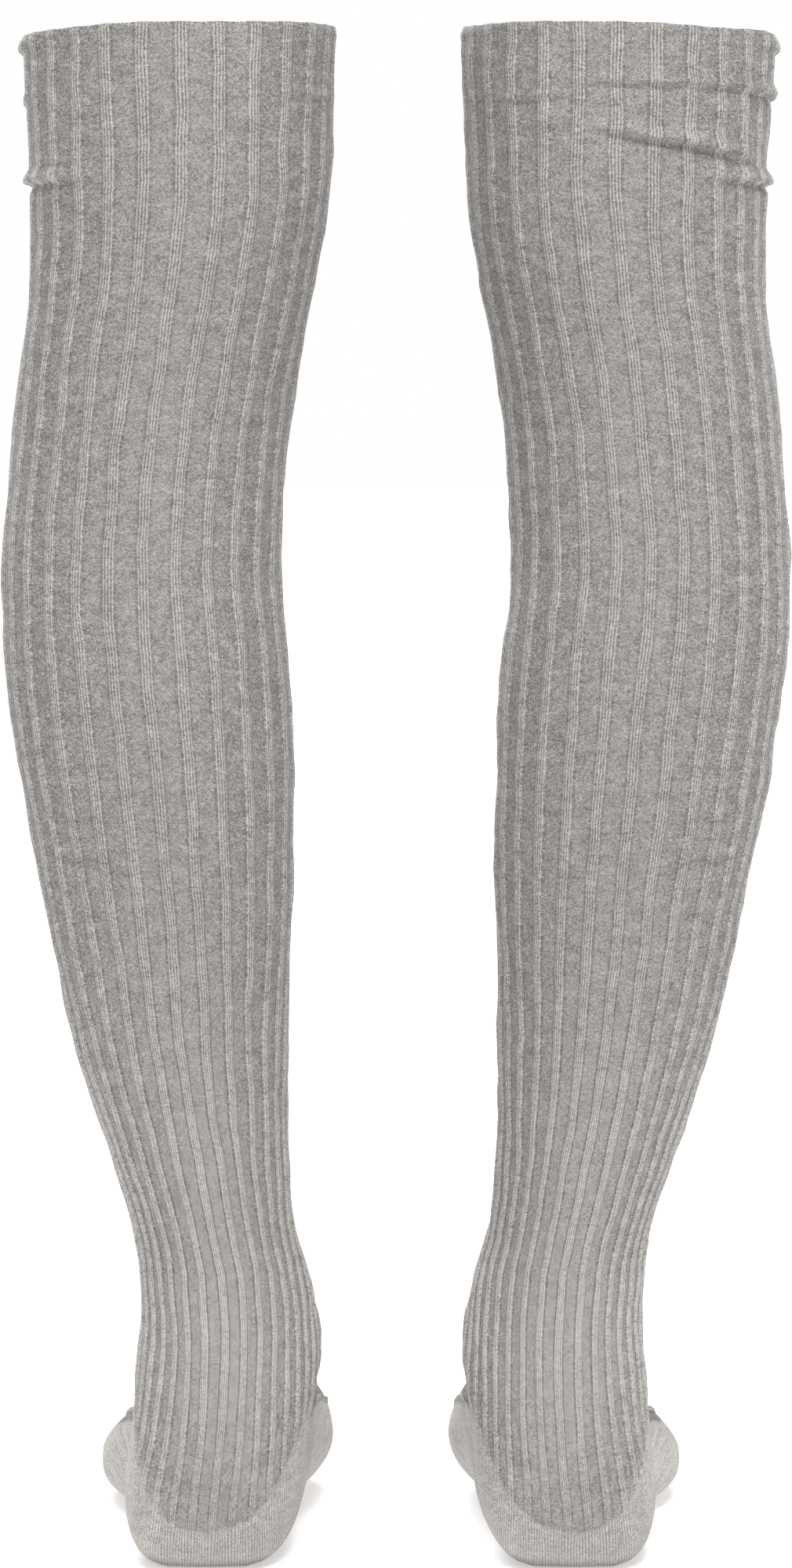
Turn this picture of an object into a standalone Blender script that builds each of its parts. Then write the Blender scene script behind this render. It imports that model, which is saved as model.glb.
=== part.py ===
"""A pair of ribbed over-the-knee socks, standing hollow in the form that they have when worn.

Metres, +Z up. The toes point along -Y, the heels along +Y, and the left sock is at +X. The
origin lies midway between the two leg openings, at the hem, where the legs hold the pair up.

Each sock is one knitted tube. Its wall runs through cross-sections ("stations") that are level
in the leg, fan out round the heel about a pivot in front of the ankle, and stand upright along
the foot. The inside of the wall is plain. The ribs and the largest folds are raised outside.
"""

import math
from dataclasses import dataclass

import bpy
import numpy as np

# Driving dimensions. Heights are measured from the floor that the soles stand on.
HEM_HEIGHT = 0.6095
HEM_SLOPE = 0.028  # the hem hangs lower on the outer side, by this much for each metre across
WALL = 0.0016
RIB_COUNT = 27
RIB_SHARE = 0.40  # a rib's share of its pitch round the leg
RIB_RISE = 0.0009
RIB_SHIFT = -0.18  # where the rib nearest the centre back stands, in pitches towards the outer side
LEAN = -0.00605  # both socks lean a little to the same side, in metres across for each metre up
LEAN_HEIGHT = 0.40  # the height at which that lean moves nothing

# The heel turn. Stations fan about this pivot, from level (0 degrees) to upright (90 degrees).
PIVOT_Y = -0.072
PIVOT_HEIGHT = 0.118
HEEL_TURNS = (0.0, 14.0, 27.0, 38.5, 41.5, 47.0, 53.0, 62.0, 75.0, 90.0)
RIB_END_TURN = 40.0  # the ribs of the back of the leg end here, at the edge of the plain heel
RIB_GATHER = 0.30  # how much closer together the ribs lie at the back of the heel
INSTEP_RIBS_DEG = 72.0  # along the foot, ribs stand within this angle of the top of the instep
TOE_CAP_AHEAD = 0.165  # they end here, in front of the leg's axis, at the edge of the plain toe
INSTEP_ROLL = 0.18  # the inner side of the instep stands higher than its outer side

TOE_TIP = 0.2035  # how far the toe reaches in front of the leg's axis

FOLD_STATIONS = 9  # level stations in the folded stretch below the hem
FOLD_FOOT = 0.545  # the height where that stretch ends
LEG_STATIONS = 11  # level stations between there and the ankle
RING_SAMPLES = 720

LEG_COLUMNS = ("height", "outer", "inner", "back", "front", "egg")
LEG_SECTIONS = (
    (0.6200, 0.1500, 0.0240, 0.0600, 0.0770, 0.03),
    (0.5800, 0.1484, 0.0256, 0.0585, 0.0775, 0.04),
    (0.5400, 0.1464, 0.0276, 0.0555, 0.0770, 0.05),
    (0.5100, 0.1470, 0.0328, 0.0515, 0.0750, 0.04),
    (0.4800, 0.1504, 0.0386, 0.0480, 0.0730, 0.02),
    (0.4400, 0.1546, 0.0436, 0.0485, 0.0680, 0.02),
    (0.4000, 0.1572, 0.0454, 0.0560, 0.0610, 0.05),
    (0.3600, 0.1554, 0.0420, 0.0620, 0.0560, 0.08),
    (0.3200, 0.1500, 0.0399, 0.0615, 0.0520, 0.08),
    (0.2800, 0.1426, 0.0400, 0.0560, 0.0490, 0.06),
    (0.2400, 0.1350, 0.0411, 0.0480, 0.0465, 0.00),
    (0.2000, 0.1262, 0.0422, 0.0400, 0.0445, -0.10),
    (0.1600, 0.1133, 0.0415, 0.0340, 0.0425, -0.20),
    (0.1300, 0.1042, 0.0388, 0.0312, 0.0418, -0.27),
    (0.1180, 0.1026, 0.0356, 0.0310, 0.0420, -0.28),
)

# "near" and "far" run from the pivot to the instep and to the heel or the sole, "sway" is how
# much further out the far end lies, and "arch" rounds the inner side of the sole.
HEEL_COLUMNS = ("turn", "near", "far", "outer", "inner", "egg", "square", "arch", "sway")
HEEL_SECTIONS = (
    (0.0, 0.0300, 0.1030, 0.1026, 0.0356, -0.28, 0.0, 0.0, 0.000),
    (15.0, 0.0325, 0.1125, 0.1012, 0.0316, -0.24, 0.0, 0.0, 0.001),
    (30.0, 0.0360, 0.1365, 0.1030, 0.0288, -0.12, 0.1, 0.0, 0.003),
    (37.5, 0.0378, 0.1513, 0.1046, 0.0302, -0.05, 0.35, 0.0, 0.004),
    (45.0, 0.0396, 0.1572, 0.1060, 0.0328, 0.00, 0.65, 0.0, 0.003),
    (52.5, 0.0412, 0.1512, 0.1068, 0.0326, 0.00, 0.8, 0.05, 0.003),
    (60.0, 0.0426, 0.1400, 0.1068, 0.0316, 0.00, 0.8, 0.15, 0.002),
    (75.0, 0.0448, 0.1250, 0.1068, 0.0292, 0.00, 0.6, 0.5, 0.000),
    (90.0, 0.0455, 0.1205, 0.1100, 0.0268, 0.04, 0.6, 0.5, 0.000),
)

# "ahead" is the distance in front of the leg's axis. A "sole" below 0 flattens on the floor.
FOOT_SECTIONS = (
    # ahead, top, sole, outer, inner, egg, square, arch
    (0.0960, 0.0640, -0.0020, 0.1184, 0.0240, 0.06, 0.6, 0.4),
    (0.1220, 0.0540, -0.0020, 0.1230, 0.0232, 0.08, 0.6, 0.3),
    (0.1480, 0.0445, -0.0015, 0.1220, 0.0254, 0.08, 0.5, 0.3),
    (0.1700, 0.0365, -0.0005, 0.1162, 0.0310, 0.05, 0.4, 0.2),
    (0.1860, 0.0295, 0.0010, 0.1064, 0.0404, 0.02, 0.3, 0.1),
    (0.1960, 0.0240, 0.0030, 0.0950, 0.0496, 0.00, 0.1, 0.0),
    (0.2015, 0.0190, 0.0055, 0.0840, 0.0602, 0.00, 0.0, 0.0),
)

# The largest folds. "around" is in degrees from the centre back towards the outer side, "span"
# and "width" are half sizes, and "slope" is the drop in metres over the fold's half span.
FOLD_COLUMNS = ("height", "around", "span", "rise", "width", "slope")
FOLDS = {
    "sock_left": (
        (0.6035, 94.0, 30.0, 0.0024, 0.0060, 0.0),
        (0.5820, 92.0, 20.0, 0.0011, 0.0060, 0.0),
        (0.5520, 82.0, 36.0, 0.0022, 0.0060, 0.001),
        (0.5820, -38.0, 14.0, 0.0007, 0.0050, 0.0),
        (0.5740, 205.0, 45.0, 0.0013, 0.0070, -0.003),
        (0.5560, -110.0, 30.0, 0.0014, 0.0070, 0.002),
    ),
    "sock_right": (
        (0.6025, 94.0, 30.0, 0.0026, 0.0060, 0.0),
        (0.5870, 46.0, 48.0, 0.0013, 0.0055, 0.002),
        (0.5645, 25.0, 28.0, 0.0020, 0.0065, 0.004),
        (0.5520, 80.0, 36.0, 0.0022, 0.0060, 0.001),
        (0.5780, 188.0, 40.0, 0.0013, 0.0070, 0.003),
        (0.5600, -104.0, 34.0, 0.0012, 0.0070, -0.002),
    ),
}

KNIT_COLOUR = (0.36, 0.345, 0.33, 1.0)
KNIT_ROUGHNESS = 0.95


@dataclass
class Station:
    """One cross-section: a closed, slightly egg-shaped ring in a plane that holds the X axis."""

    turn: float  # angle of the plane, from level (0) to upright (a quarter turn)
    y: float  # where the plane's zero line crosses the leg
    height: float
    near: float  # from there to the front of the ring, towards the back or the sole positive
    far: float  # and to its back or its sole
    outer: float
    inner: float
    egg: float  # how much wider the far half is than the near half
    square: float = 0.0  # 0 for an oval far half, towards 1 for a square one
    arch: float = 0.0  # how much less square the inner side of the far half is
    sway: float = 0.0  # how much further out the far end lies


def column(rows, names, name):
    """One named column of a table as an array."""
    return np.array([row[names.index(name)] for row in rows])


def smooth_read(rows, names, name, where):
    """Read a column at the values `where` of the table's first column, on a smooth curve.

    Cubic Hermite pieces whose slopes are the mean of the slopes on the two sides of a row.
    """
    x = column(rows, names, names[0])
    v = column(rows, names, name)
    order = np.argsort(x)
    x, v = x[order], v[order]
    steps = np.diff(v) / np.diff(x)
    slopes = np.concatenate((steps[:1], (steps[:-1] + steps[1:]) / 2, steps[-1:]))
    at = np.clip(np.searchsorted(x, where) - 1, 0, len(x) - 2)
    width = x[at + 1] - x[at]
    t = (where - x[at]) / width
    start = (1 + 2 * t) * (1 - t) ** 2 * v[at] + t * (1 - t) ** 2 * width * slopes[at]
    end = t * t * (3 - 2 * t) * v[at + 1] + t * t * (t - 1) * width * slopes[at + 1]
    return start + end


def leg_stations():
    """The level stations, from the hem down to the ankle."""
    folded = np.linspace(HEM_HEIGHT, FOLD_FOOT, FOLD_STATIONS)
    plain = np.linspace(FOLD_FOOT, PIVOT_HEIGHT, LEG_STATIONS + 1)[1:-1]
    stations = []
    for height in np.concatenate((folded, plain)):
        front, back, outer, inner, egg = (
            float(smooth_read(LEG_SECTIONS, LEG_COLUMNS, name, height))
            for name in ("front", "back", "outer", "inner", "egg")
        )
        stations.append(Station(0.0, 0.0, height, -front, back, outer, inner, egg))
    return stations


def heel_stations():
    """The stations that fan round the heel, from level to upright."""
    stations = []
    for turn in HEEL_TURNS:
        sizes = (
            float(smooth_read(HEEL_SECTIONS, HEEL_COLUMNS, name, turn))
            for name in HEEL_COLUMNS[1:]
        )
        stations.append(Station(math.radians(turn), PIVOT_Y, PIVOT_HEIGHT, *sizes))
    return stations


def foot_stations():
    """The upright stations in front of the heel turn, up to the toe."""
    stations = []
    for row in FOOT_SECTIONS:
        ahead, top, sole, *shape = row
        stations.append(Station(math.pi / 2, -ahead, top, 0.0, top - sole, *shape))
    return stations


def station_ring(station, fractions):
    """Points of a station at the given fractions of its girth, from the back or sole centre.

    The near half is half an ellipse. The far half is half a superellipse of the same width,
    whose exponent grows from 2 with `square`, less so by `arch` on the inner side. The width
    swells towards the far end by `egg`, and at its greatest it is what outer and inner say.
    What would go under the floor is flattened on it. Fractions grow towards the outer side first.
    """
    angle = np.linspace(0.0, 2 * math.pi, RING_SAMPLES + 1)
    sine, cosine = np.sin(angle), np.cos(angle)
    bend = (1 - station.square / 2) + station.arch * (sine < 0)
    power = np.where(cosine > 0, bend, 1.0)
    half_width = (station.outer - station.inner) / 2 - RIB_RISE
    half_length = (station.far - station.near) / 2
    spread = np.sign(sine) * np.abs(sine) ** power * (1 + station.egg * cosine)
    across = half_width * spread / np.abs(spread).max()
    reach = np.sign(cosine) * np.abs(cosine) ** power
    along = station.near + half_length * (1 + reach)
    y = station.y + along * math.cos(station.turn)
    z = station.height - along * math.sin(station.turn)
    upright = math.sin(station.turn) ** 2
    z = z * (1 - INSTEP_ROLL * upright * across / half_width)
    x = (station.outer + station.inner) / 2 + station.sway * reach + across
    curve = np.stack((x, y, np.maximum(z, 0.0)), axis=1)
    girth = np.concatenate(([0.0], np.cumsum(np.linalg.norm(np.diff(curve, axis=0), axis=1))))
    wanted = np.mod(fractions, 1.0) * girth[-1]
    return np.stack([np.interp(wanted, girth, curve[:, i]) for i in range(3)], axis=1)


def gathered(fractions, turn):
    """Fractions of the girth, drawn towards the back centre round the heel."""
    pull = RIB_GATHER * math.sin(2 * turn) ** 2
    return fractions - pull * np.sin(2 * math.pi * fractions) / (2 * math.pi)


def grid_normals(grid):
    """Outward unit normals of a closed-round grid of points, by central differences."""
    along = np.gradient(grid, axis=0)
    round_it = np.roll(grid, -1, axis=1) - np.roll(grid, 1, axis=1)
    normals = np.cross(round_it, along)
    return normals / np.linalg.norm(normals, axis=2, keepdims=True)


def rib_mask(stations, fractions):
    """1 where a rib may stand and 0 on the plain heel, sole and sides of the foot."""
    from_top = np.abs(np.mod(fractions, 1.0) - 0.5) * 360.0
    turns = np.degrees([station.turn for station in stations])
    on_leg = turns[:, None] < RIB_END_TURN
    behind_toe = np.array([-station.y for station in stations]) < TOE_CAP_AHEAD
    on_instep = behind_toe[:, None] & (from_top[None, :] < INSTEP_RIBS_DEG)
    return (on_leg | on_instep).astype(float)


def fold_rise(grid, fractions, folds):
    """How far the folds lift the wall outwards at each point of the grid."""
    around = fractions * 360.0
    rise = np.zeros(grid.shape[:2])
    for row in folds:
        fold = dict(zip(FOLD_COLUMNS, row))
        turned = np.mod(around - fold["around"] + 180.0, 360.0) - 180.0
        sideways = turned / fold["span"]
        level = fold["height"] - fold["slope"] * sideways
        updown = (grid[:, :, 2] - level[None, :]) / fold["width"]
        rise += fold["rise"] * np.exp(-(updown**2)) * np.exp(-(sideways**4))[None, :]
    return rise


def sock_points(name, side):
    """Points of one sock, ring by ring from the hem: outside, inside, then the two toe tips.

    Outside, each rib has three points round the ring: its two feet and its crest. Inside, each
    rib has one point. Returns them with the number of rings.
    """
    stations = leg_stations() + heel_stations() + foot_stations()
    rib = np.arange(RIB_COUNT)[:, None] + RIB_SHIFT
    across_rib = np.array([-RIB_SHARE / 2, 0.0, RIB_SHARE / 2])
    fractions = ((rib + across_rib) / RIB_COUNT).ravel()
    crest = np.tile([0.0, 1.0, 0.0], RIB_COUNT)

    grid = np.stack(
        [station_ring(station, gathered(fractions, station.turn)) for station in stations]
    )
    grid[0, :, 2] -= HEM_SLOPE * (grid[0, :, 0] - grid[0, :, 0].mean())
    normals = grid_normals(grid)
    folds = fold_rise(grid, fractions, FOLDS[name])
    ribs = rib_mask(stations, fractions) * crest[None, :] * RIB_RISE
    outside = grid + normals * (folds + ribs)[:, :, None]
    inside = (grid + normals * (folds - WALL)[:, :, None])[:, 1::3]

    last = stations[-1]
    tip = [(last.outer + last.inner) / 2, -TOE_TIP, last.height - last.far / 2]
    inner_tip = [tip[0], tip[1] + WALL, tip[2]]
    points = np.concatenate((outside.reshape(-1, 3), inside.reshape(-1, 3), [tip, inner_tip]))
    points[:, 0] = side * points[:, 0] + LEAN * (points[:, 2] - LEAN_HEIGHT)
    points[:, 2] -= HEM_HEIGHT
    return points, len(stations)


def sock_faces(rings):
    """Triangles of a sock on its outer side at +X: both skins, the hem's rim and the toe."""
    outside = 3 * RIB_COUNT
    inner_start = rings * outside
    tip = inner_start + rings * RIB_COUNT
    outward = skin_faces(rings, outside, 0)
    outward += cap_faces(inner_start - outside, outside, tip)
    inward = skin_faces(rings, RIB_COUNT, inner_start)
    inward += cap_faces(tip - RIB_COUNT, RIB_COUNT, tip + 1)
    return outward + [face[::-1] for face in inward] + rim_faces(inner_start)


def skin_faces(rings, count, start):
    """Triangles of a closed-round grid of points whose first index is `start`."""
    faces = []
    for row in range(rings - 1):
        for i in range(count):
            a = start + row * count + i
            b = start + row * count + (i + 1) % count
            faces.append((a, b, b + count))
            faces.append((a, b + count, a + count))
    return faces


def rim_faces(inner_start):
    """Triangles of the hem's rim, between three outer points and one inner point for each rib."""
    faces = []
    for rib in range(RIB_COUNT):
        foot, crest, end = 3 * rib, 3 * rib + 1, 3 * rib + 2
        after = (3 * rib + 3) % (3 * RIB_COUNT)
        here = inner_start + rib
        following = inner_start + (rib + 1) % RIB_COUNT
        faces.append((here, crest, foot))
        faces.append((here, end, crest))
        faces.append((here, after, end))
        faces.append((here, following, after))
    return faces


def cap_faces(start, count, tip):
    """Triangles from a ring of points to one tip."""
    return [(start + i, start + (i + 1) % count, tip) for i in range(count)]


def knit_material():
    """Light grey heathered knit."""
    material = bpy.data.materials.new("grey_knit")
    material.use_nodes = True
    shader = material.node_tree.nodes["Principled BSDF"]
    shader.inputs["Base Color"].default_value = KNIT_COLOUR
    shader.inputs["Roughness"].default_value = KNIT_ROUGHNESS
    shader.inputs["Metallic"].default_value = 0.0
    return material


def add_sock(name, side, material):
    """One sock as an object. Side is 1 at +X and -1 at -X, where the triangles turn round."""
    points, rings = sock_points(name, side)
    faces = sock_faces(rings)
    if side < 0:
        faces = [face[::-1] for face in faces]
    mesh = bpy.data.meshes.new(name)
    mesh.from_pydata(points.tolist(), [], faces)
    mesh.materials.append(material)
    mesh.shade_smooth()
    bpy.context.scene.collection.objects.link(bpy.data.objects.new(name, mesh))


def main():
    for old in list(bpy.data.objects):
        bpy.data.objects.remove(old, do_unlink=True)
    knit = knit_material()
    add_sock("sock_left", 1, knit)
    add_sock("sock_right", -1, knit)


main()
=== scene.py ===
"""Dresses a pair of ribbed over-the-knee socks, and stands them in a plain pale studio.

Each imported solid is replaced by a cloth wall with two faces, swept through the same
cross-sections with many more points, and finished with a knit that follows its wales.

Metres, +Z up. The toes point along -Y and the left sock is at +X. The origin lies midway between
the leg openings, at the hem. Heights in the tables are measured from the floor.
"""

import logging
import math
from collections.abc import Iterable
from dataclasses import dataclass
from enum import Enum
from typing import Any

import bpy
import numpy as np
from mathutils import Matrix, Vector


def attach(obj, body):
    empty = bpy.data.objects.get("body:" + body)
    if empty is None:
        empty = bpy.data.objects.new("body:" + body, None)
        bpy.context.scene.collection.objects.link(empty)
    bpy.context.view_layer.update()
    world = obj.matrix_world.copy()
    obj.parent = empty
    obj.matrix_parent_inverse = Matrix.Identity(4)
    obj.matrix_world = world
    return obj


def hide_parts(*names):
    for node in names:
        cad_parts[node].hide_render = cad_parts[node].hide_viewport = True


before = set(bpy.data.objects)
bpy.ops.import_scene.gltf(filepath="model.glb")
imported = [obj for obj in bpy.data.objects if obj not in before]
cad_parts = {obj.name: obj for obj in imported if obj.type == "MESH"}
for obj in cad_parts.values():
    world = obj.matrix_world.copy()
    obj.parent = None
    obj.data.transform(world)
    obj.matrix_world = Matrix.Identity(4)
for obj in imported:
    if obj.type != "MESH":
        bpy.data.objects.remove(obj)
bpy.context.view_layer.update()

LOG = logging.getLogger("socks")

HEM_HEIGHT = 0.6095  # from the floor to the hem
HEM_SLOPE = 0.028  # drop of the hem towards the outer side, for each metre across
LEAN = -0.00605  # both socks lean to the same side, in metres across for each metre up
LEAN_HEIGHT = 0.40
WALL = 0.0016  # thickness of the cloth
DOWN = np.array((0.0, 0.0, -1.0))

RIBS = 27
RIB_SHIFT = -0.18  # where the rib nearest the centre back stands, in pitches
RIB_WALES = 2  # columns of plain stitches that make a rib
PITCH_WALES = 7  # those and the purl columns up to the next rib
WALES = RIBS * PITCH_WALES
WALE_POINTS = 2  # mesh columns for each wale
COLUMNS = WALES * WALE_POINTS
COLUMN_WALES = np.arange(COLUMNS) / WALE_POINTS  # the wale at each mesh column
FROM_RIB = (COLUMN_WALES - RIB_WALES / 2) / PITCH_WALES  # in pitches, from the first rib's middle
EVEN_SHARES = (FROM_RIB + RIB_SHIFT) / RIBS  # of the girth, from the centre back
INNER_STEP = 3  # the inner face has one mesh column for each three of the outer face
COARSE_WALES = COLUMN_WALES[::INNER_STEP]

LEG_STOPS = (HEM_HEIGHT, 0.5420, 0.118)  # heights; rings are closest where the folds lie
LEG_STEPS = (61, 79)
HEEL_STOPS = (0.0, 36.0, 44.0, 90.0)  # degrees of turn; closest at the plain heel's edge
HEEL_STEPS = (14, 8, 19)
FOOT_STOPS = (0.0720, 0.1800, 0.2015)  # distances ahead; closest at the toe
FOOT_STEPS = (25, 13)

PIVOT_Y = -0.072  # the heel's cross-sections fan about this line
PIVOT_HEIGHT = 0.118
RIB_END_TURN = math.radians(40.0)
RIB_GATHER = 0.30  # how much closer together the ribs lie at the back of the heel
RIB_SWELL = 0.26  # how much wider than the panels' wales the ribs' wales are, at full stretch
RIB_SWELL_SLACK = 0.10  # and how much more where the knit is slack
SWELL_END_TURN = 0.80  # radians of turn where that swelling ends
SWELL_FADE_TURN = 0.16  # and over how many it fades
TAUT_PITCH = 0.0135  # from rib to rib, round a thigh
SLACK_PITCH = 0.0080  # and round an ankle
HEEL_DIP = math.radians(7.0)  # the plain heel's edge stands this much higher at its sides
HEEL_RADIUS = 0.125  # for distances along the plain knit, round the heel
INSTEP_SHARE = 0.20  # ribs on the foot stand within this share of the girth from its top
TOE_CAP_AHEAD = 0.165
INSTEP_ROLL = 0.18  # how much lower the foot's top lies at the outer side, as a share
TOE_TIP = 0.2035  # ahead of the leg's axis


class Side(Enum):
    """Which leg a sock is for, and the sign of the X axis on that side."""

    LEFT = 1
    RIGHT = -1


@dataclass(frozen=True)
class Table:
    """Sizes in named columns. The first column says where each row stands."""

    columns: tuple[str, ...]
    rows: tuple[tuple[float, ...], ...]

    def read(self, name: str, where: np.ndarray) -> np.ndarray:
        """Read a column on a smooth curve through its rows.

        Each span between two rows is a cubic whose end slopes are the mean of the straight
        slopes on the two sides of a row.

        Args:
            name: the column to read.
            where: values of the first column.

        Returns:
            The column's value at each of them.
        """
        rows = np.array(sorted(self.rows))
        x = rows[:, 0]
        v = rows[:, self.columns.index(name)]
        steps = np.diff(v) / np.diff(x)
        slopes = np.concatenate((steps[:1], (steps[:-1] + steps[1:]) / 2, steps[-1:]))
        at = np.clip(np.searchsorted(x, where) - 1, 0, len(x) - 2)
        width = x[at + 1] - x[at]
        t = (where - x[at]) / width
        start = (1 + 2 * t) * (1 - t) ** 2 * v[at] + t * (1 - t) ** 2 * width * slopes[at]
        end = t * t * (3 - 2 * t) * v[at + 1] + t * t * (t - 1) * width * slopes[at + 1]
        return start + end


LEG = Table(
    ("height", "outer", "inner", "back", "front", "egg"),
    (
        (0.6200, 0.1500, 0.0240, 0.0600, 0.0770, 0.03),
        (0.5800, 0.1484, 0.0256, 0.0585, 0.0775, 0.04),
        (0.5400, 0.1464, 0.0276, 0.0555, 0.0770, 0.05),
        (0.5100, 0.1470, 0.0328, 0.0515, 0.0750, 0.04),
        (0.4800, 0.1504, 0.0386, 0.0480, 0.0730, 0.02),
        (0.4400, 0.1546, 0.0436, 0.0485, 0.0680, 0.02),
        (0.4000, 0.1572, 0.0454, 0.0560, 0.0610, 0.05),
        (0.3600, 0.1554, 0.0420, 0.0620, 0.0560, 0.08),
        (0.3200, 0.1500, 0.0399, 0.0615, 0.0520, 0.08),
        (0.2800, 0.1426, 0.0400, 0.0560, 0.0490, 0.06),
        (0.2400, 0.1350, 0.0411, 0.0480, 0.0465, 0.00),
        (0.2000, 0.1262, 0.0422, 0.0400, 0.0445, -0.10),
        (0.1600, 0.1133, 0.0415, 0.0340, 0.0425, -0.20),
        (0.1300, 0.1042, 0.0388, 0.0312, 0.0418, -0.27),
        (0.1180, 0.1026, 0.0356, 0.0310, 0.0420, -0.28),
    ),
)

HEEL = Table(
    ("turn", "near", "far", "outer", "inner", "egg", "square", "arch", "sway"),
    (
        (0.0, 0.0300, 0.1030, 0.1026, 0.0356, -0.28, 0.0, 0.0, 0.000),
        (15.0, 0.0325, 0.1125, 0.1012, 0.0316, -0.24, 0.0, 0.0, 0.001),
        (30.0, 0.0360, 0.1365, 0.1030, 0.0288, -0.12, 0.1, 0.0, 0.003),
        (37.5, 0.0378, 0.1513, 0.1046, 0.0302, -0.05, 0.35, 0.0, 0.004),
        (45.0, 0.0396, 0.1572, 0.1060, 0.0328, 0.00, 0.65, 0.0, 0.003),
        (52.5, 0.0412, 0.1512, 0.1068, 0.0326, 0.00, 0.8, 0.05, 0.003),
        (60.0, 0.0426, 0.1400, 0.1068, 0.0316, 0.00, 0.8, 0.15, 0.002),
        (75.0, 0.0448, 0.1250, 0.1068, 0.0292, 0.00, 0.6, 0.5, 0.000),
        (90.0, 0.0455, 0.1205, 0.1100, 0.0268, 0.04, 0.6, 0.5, 0.000),
    ),
)

FOOT = Table(
    ("ahead", "top", "sole", "outer", "inner", "egg", "square", "arch"),
    (
        (0.0720, 0.0725, -0.0025, 0.1100, 0.0268, 0.04, 0.6, 0.5),
        (0.0960, 0.0640, -0.0020, 0.1184, 0.0240, 0.06, 0.6, 0.4),
        (0.1220, 0.0540, -0.0020, 0.1230, 0.0232, 0.08, 0.6, 0.3),
        (0.1480, 0.0445, -0.0015, 0.1220, 0.0254, 0.08, 0.5, 0.3),
        (0.1700, 0.0365, -0.0005, 0.1162, 0.0310, 0.05, 0.4, 0.2),
        (0.1860, 0.0295, 0.0010, 0.1064, 0.0404, 0.02, 0.3, 0.1),
        (0.1960, 0.0240, 0.0030, 0.0950, 0.0496, 0.00, 0.1, 0.0),
        (0.2015, 0.0190, 0.0055, 0.0840, 0.0602, 0.00, 0.0, 0.0),
    ),
)


@dataclass(frozen=True)
class Ripple:
    """Smooth unevenness round and along a sock, the same on each run.

    It is the mean of several sine waves, scaled to a root mean square of `size`. Each has a
    whole number of lobes round the sock, and its own wave length and start.
    """

    seed: int
    size: float
    lobes: int  # at most this many round the sock
    shortest: float  # wave lengths along the sock, in metres
    longest: float
    waves: int = 14

    def at(self, around: np.ndarray, along: np.ndarray) -> np.ndarray:
        """The unevenness at shares of the girth and distances along the sock."""
        draw = np.random.default_rng(self.seed)
        total = np.zeros(np.broadcast(around, along).shape)
        for _ in range(self.waves):
            lobes = draw.integers(-self.lobes, self.lobes + 1)
            length = draw.uniform(self.shortest, self.longest)
            start = draw.uniform(0.0, 2 * math.pi)
            total += np.sin(2 * math.pi * (lobes * around + along / length) + start)
        return total * self.size * math.sqrt(2 / self.waves)


@dataclass(frozen=True)
class Fold:
    """A soft roll of cloth with a crease under it.

    Its height over the wall is a flat-topped bell across the roll and along it. The lower half
    of the bell is narrowed by `undercut`, which deepens a narrow trough close under it too.
    """

    BLUNTNESS = 2.8  # power of the bell across
    NARROWING = 0.6
    TROUGH_DEPTH = 0.55  # as a share of the rise
    TROUGH_BELOW = 0.98  # in half widths
    TROUGH_WIDTH = 0.42

    height: float  # from the floor, at its middle
    around: float  # degrees from the centre back towards the outer side
    span: float  # half its length, in degrees
    rise: float
    width: float  # half its width
    slope: float = 0.0  # drop over half its length
    undercut: float = 0.5
    bow: float = 0.0  # how far both its ends hang below its middle

    def lift(self, around: np.ndarray, height: np.ndarray) -> np.ndarray:
        """How far it lifts the wall at shares of the girth and heights from the floor."""
        turned = np.mod(around * 360.0 - self.around + 180.0, 360.0) - 180.0
        sideways = turned / self.span
        level = self.height - self.slope * sideways - self.bow * sideways**2
        above = (height - level) / self.width
        narrowed = np.where(above < 0, above / (1 - self.NARROWING * self.undercut), above)
        ridge = np.exp(-(np.abs(narrowed) ** self.BLUNTNESS))
        inside_trough = np.exp(-(((above + self.TROUGH_BELOW) / self.TROUGH_WIDTH) ** 2))
        trough = self.TROUGH_DEPTH * self.undercut * inside_trough
        return self.rise * (ridge - trough) * np.exp(-(sideways**4))


HIDDEN_FOLDS = (
    Fold(0.1290, 182.0, 40.0, 0.0006, 0.0080, 0.000, 0.3, 0.004),
    Fold(0.1120, 182.0, 52.0, 0.0010, 0.0042, 0.000, 0.5, 0.004),
    Fold(0.1020, 176.0, 60.0, 0.0015, 0.0040, 0.001, 0.6, 0.005),
    Fold(0.0925, 186.0, 56.0, 0.0012, 0.0038, -0.001, 0.6, 0.004),
    Fold(0.0840, 178.0, 44.0, 0.0008, 0.0038, 0.001, 0.5, 0.003),
)

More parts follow.
